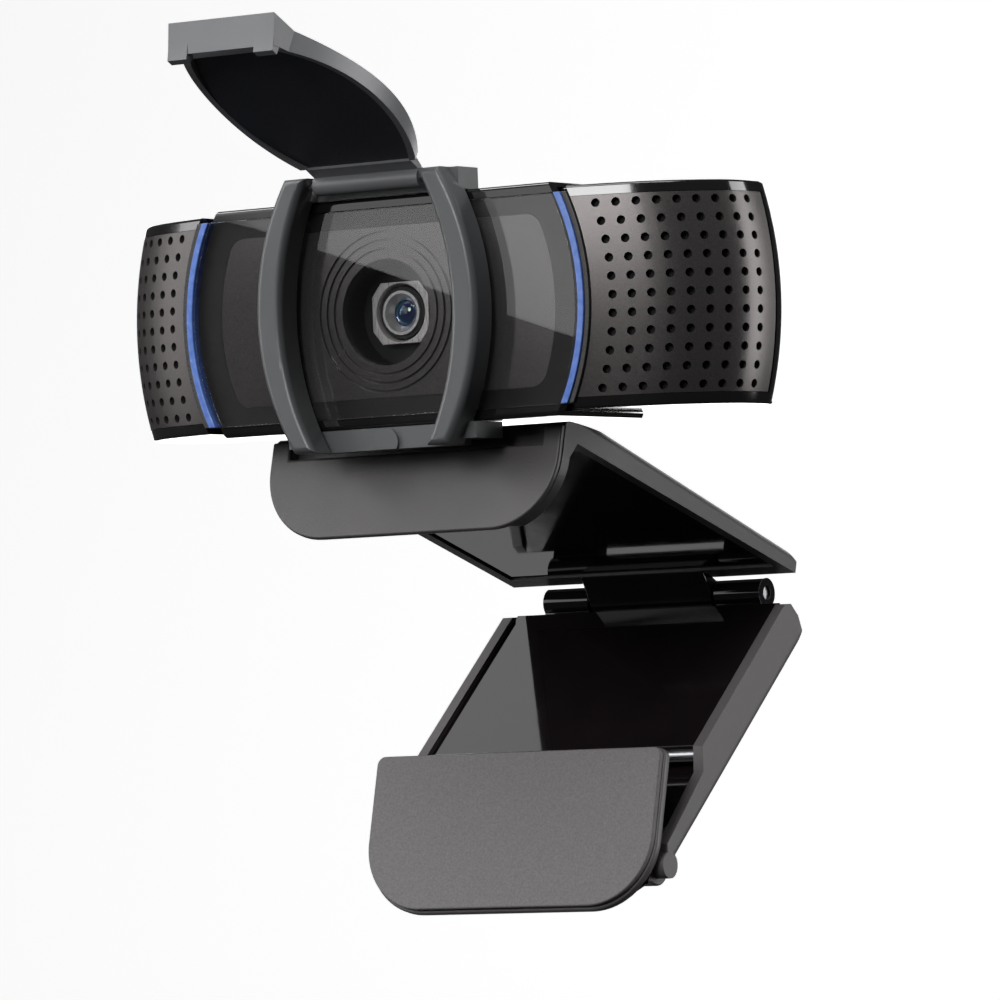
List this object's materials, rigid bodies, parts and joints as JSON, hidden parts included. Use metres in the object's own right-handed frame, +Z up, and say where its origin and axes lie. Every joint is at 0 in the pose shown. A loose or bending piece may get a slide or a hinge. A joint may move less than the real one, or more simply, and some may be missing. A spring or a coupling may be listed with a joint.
{
  "type": "webcam with folding monitor clip",
  "caption": "Wide webcam with flip-up privacy shutter, perforated wings and lit side strips, tilting on a folding monitor clip with a tripod thread.",
  "frame": {"origin": "inner corner of the clip, where the top edge of the screen seats, on the mid plane", "axes": "+X to the right seen from the front, -Y is the way the camera looks, +Z up"},
  "size_m": [0.0948, 0.0959, 0.1115],
  "materials": {
    "shell_gloss": "piano black",
    "cap_gloss": "piano black",
    "window_clear": "clear polished",
    "mask_black": "gloss black print",
    "panel_grey": "fine textured grey",
    "carrier_black": "matt black",
    "pipe_blue": "translucent blue",
    "rim_satin": "satin silver-grey",
    "grille_metal": "satin dark grey paint",
    "cloth_black": "acoustic mesh",
    "shroud_grey": "satin light grey",
    "ring_chrome": "polished",
    "lens_glass": "coated",
    "coil_black": "matt",
    "chip_black": "polished chip",
    "board_green": "solder mask",
    "connector_cream": "matt",
    "steel": "bright",
    "can_tin": "tinned sheet",
    "mic_metal": "satin",
    "rubber_black": "matt",
    "frame_satin": "satin dark grey",
    "flap_satin": "satin dark grey",
    "flap_dark": "fine matt",
    "clip_satin": "satin graphite",
    "clip_gloss": "piano black",
    "pad_rubber": "fine textured grey",
    "insert_brass": "turned"
  },
  "bodies": {
    "clip": {"clip_shell": "clip_satin", "lip_cover": "clip_satin", "lip_pad": "rubber_black", "clip_liner": "clip_gloss", "clip_knuckle": "clip_gloss", "tilt_post": "carrier_black"},
    "head": {"rear_shell": "shell_gloss", "centre_cap_top": "cap_gloss", "centre_cap_bottom": "cap_gloss", "front_window": "window_clear", "window_mask": "mask_black", "ring_panel": "panel_grey", "panel_carrier": "carrier_black", "light_pipe_left": "pipe_blue", "light_pipe_right": "pipe_blue", "satin_rim_left": "rim_satin", "satin_rim_right": "rim_satin", "grille_left": "grille_metal", "grille_right": "grille_metal", "grille_cloth_left": "cloth_black", "grille_cloth_right": "cloth_black", "lens_shroud": "shroud_grey", "lens_barrel": "carrier_black", "lens_ring": "ring_chrome", "front_element": "lens_glass", "rear_element": "lens_glass", "focus_coil": "coil_black", "image_sensor": "chip_black", "sensor_board": "board_green", "board_plug": "connector_cream", "main_board": "board_green", "board_screws": "steel", "shield_can": "can_tin", "cord_socket": "connector_cream", "cord_gland": "rubber_black", "mic_capsule_left": "mic_metal", "mic_capsule_right": "mic_metal", "mic_boot_left": "rubber_black", "mic_boot_right": "rubber_black", "status_lamp_left": "connector_cream", "status_lamp_right": "connector_cream", "ballast_plate": "steel", "tilt_cradle": "carrier_black", "tilt_pin": "steel", "tilt_washers": "steel", "shutter_frame": "frame_satin", "shutter_pads": "rubber_black", "flap_pin": "steel"},
    "flap": {"shutter_flap": "flap_satin", "flap_lining": "flap_dark"},
    "arm": {"arm_shell": "clip_satin", "arm_liner": "clip_gloss", "arm_knuckles": "clip_gloss", "fold_pin": "steel", "arm_stop_bar": "steel", "tripod_insert": "insert_brass", "foot_pin": "steel"},
    "foot": {"foot_plate": "clip_satin", "foot_pad": "pad_rubber"}
  },
  "joints": [
    {"name": "head_tilt", "type": "hinge", "parent": "clip", "child": "head", "pos_m": [0, -0.0016, 0.0065], "axis": [1, 0, 0], "range_deg": [-8, 8]},
    {"name": "shutter_flip", "type": "hinge", "parent": "head", "child": "flap", "pos_m": [0, -0.0113, 0.0338], "axis": [1, 0, 0], "range_deg": [0, 116]},
    {"name": "clip_fold", "type": "hinge", "parent": "clip", "child": "arm", "pos_m": [0, 0.0517, -0.0188], "axis": [1, 0, 0], "range_deg": [-30, 95]},
    {"name": "foot_fold", "type": "hinge", "parent": "arm", "child": "foot", "pos_m": [0, 0.0177, -0.0534], "axis": [1, 0, 0], "range_deg": [-28, 0]}
  ]
}
